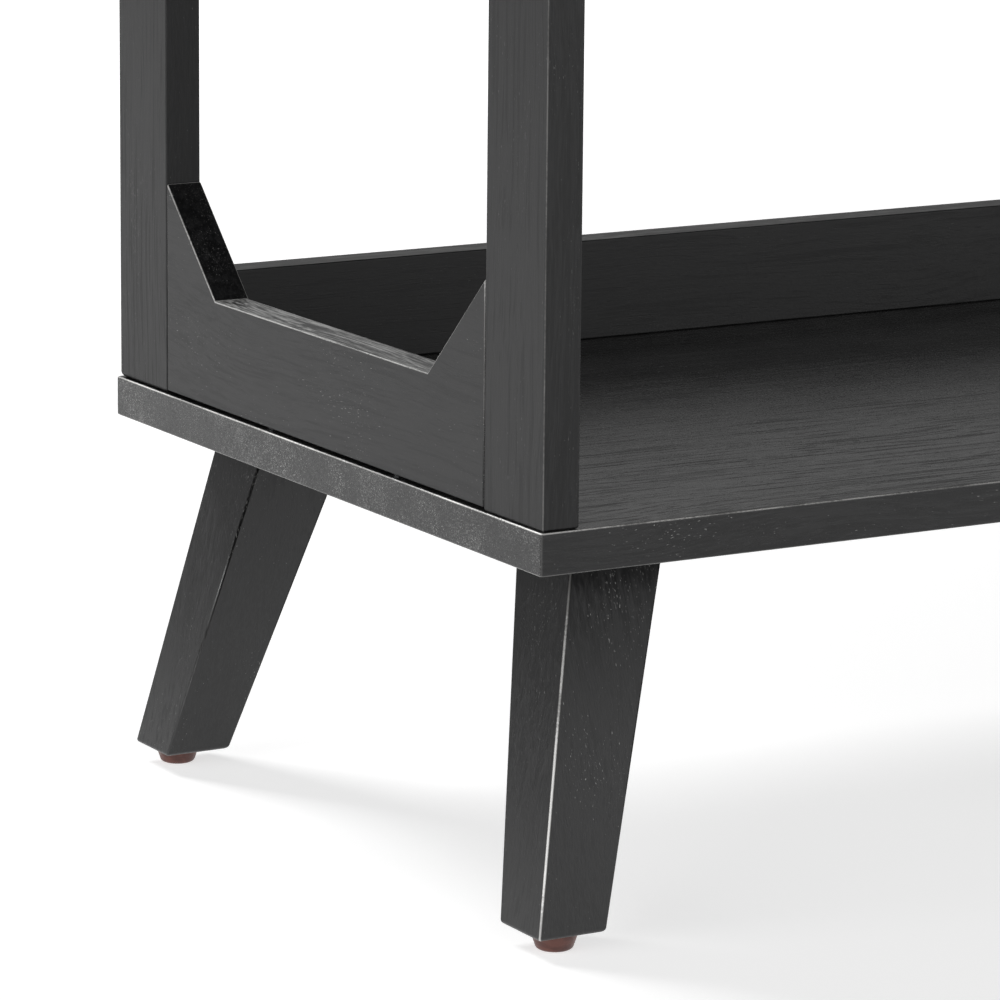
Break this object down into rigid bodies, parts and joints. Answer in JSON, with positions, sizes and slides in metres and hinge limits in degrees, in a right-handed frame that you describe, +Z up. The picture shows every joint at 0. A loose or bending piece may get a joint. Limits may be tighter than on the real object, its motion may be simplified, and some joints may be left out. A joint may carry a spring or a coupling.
{
  "type": "lift top coffee table",
  "caption": "Lift-top coffee table: splayed-leg shelf base, notched open end frames and a storage box whose top swings up and forward on parallel arms.",
  "frame": {"origin": "on the floor under the centre of the table", "axes": "+X to the right along the table's length, +Y to the back, +Z up; the open front of the shelf faces -Y"},
  "size_m": [1.06, 0.406, 0.54],
  "materials": {
    "black_oak": "open-grain oak veneer under black satin lacquer",
    "box_floor": "black satin lacquer on fibreboard",
    "brown_plastic": "moulded, slightly glossy",
    "beech": "raw, fluted",
    "zinc_steel": "zinc plated",
    "black_steel": "black powder coat",
    "spring_steel": "oiled spring wire",
    "nylon": "natural nylon",
    "black_rubber": "matt"
  },
  "bodies": {
    "base": {"lower_shelf": "black_oak", "leg_front_left": "black_oak", "leg_front_right": "black_oak", "leg_rear_left": "black_oak", "leg_rear_right": "black_oak", "post_front_left": "black_oak", "post_front_right": "black_oak", "post_rear_left": "black_oak", "post_rear_right": "black_oak", "end_panel_left": "black_oak", "end_panel_right": "black_oak", "shelf_rail": "black_oak", "front_apron": "black_oak", "back_apron": "black_oak", "end_apron_left": "black_oak", "end_apron_right": "black_oak", "storage_floor": "box_floor", "glide_front_left": "brown_plastic", "glide_front_right": "brown_plastic", "glide_rear_left": "brown_plastic", "glide_rear_right": "brown_plastic", "leg_dowels": "beech", "frame_dowels": "beech", "rail_dowels": "beech", "post_dowels": "beech", "glide_nails": "zinc_steel", "leg_bolts": "zinc_steel", "leg_insert_nuts": "zinc_steel", "shelf_screws": "zinc_steel", "cam_locks": "zinc_steel", "cam_bolts": "zinc_steel", "base_bracket_screws": "zinc_steel", "base_pins": "zinc_steel", "base_washers": "zinc_steel", "stop_pins": "zinc_steel", "base_bracket_left": "black_steel", "base_bracket_right": "black_steel", "assist_spring_left": "spring_steel", "assist_spring_right": "spring_steel", "spring_sleeves": "nylon", "top_bumpers": "black_rubber"},
    "front_arms": {"front_arm_left": "black_steel", "front_arm_right": "black_steel", "cross_bar": "black_steel", "cross_bar_screws": "zinc_steel", "spring_studs": "zinc_steel"},
    "rear_arm_left": {"rear_arm_left": "black_steel"},
    "rear_arm_right": {"rear_arm_right": "black_steel"},
    "top": {"lift_top": "black_oak", "top_bracket_left": "black_steel", "top_bracket_right": "black_steel", "top_bracket_screws": "zinc_steel", "top_pins": "zinc_steel", "top_washers": "zinc_steel"}
  },
  "joints": [
    {"name": "lift", "type": "hinge", "parent": "base", "child": "front_arms", "pos_m": [0, -0.0965, 0.476], "axis": [1, 0, 0], "range_deg": [0, 112], "deforming": ["assist_spring_left", "assist_spring_right"]},
    {"name": "top_level", "type": "hinge", "parent": "front_arms", "child": "top", "pos_m": [0, 0.09165, 0.50244], "axis": [1, 0, 0], "range_deg": [-112, 0]},
    {"name": "rear_left_swing", "type": "hinge", "parent": "base", "child": "rear_arm_left", "pos_m": [0, -0.0325, 0.464], "axis": [1, 0, 0], "range_deg": [0, 112]},
    {"name": "rear_right_swing", "type": "hinge", "parent": "base", "child": "rear_arm_right", "pos_m": [0, -0.0325, 0.464], "axis": [1, 0, 0], "range_deg": [0, 112]}
  ],
  "couplings": [
    {"joint": "top_level", "follows": "lift", "ratio": -1},
    {"joint": "rear_left_swing", "follows": "lift", "ratio": 1},
    {"joint": "rear_right_swing", "follows": "lift", "ratio": 1}
  ]
}
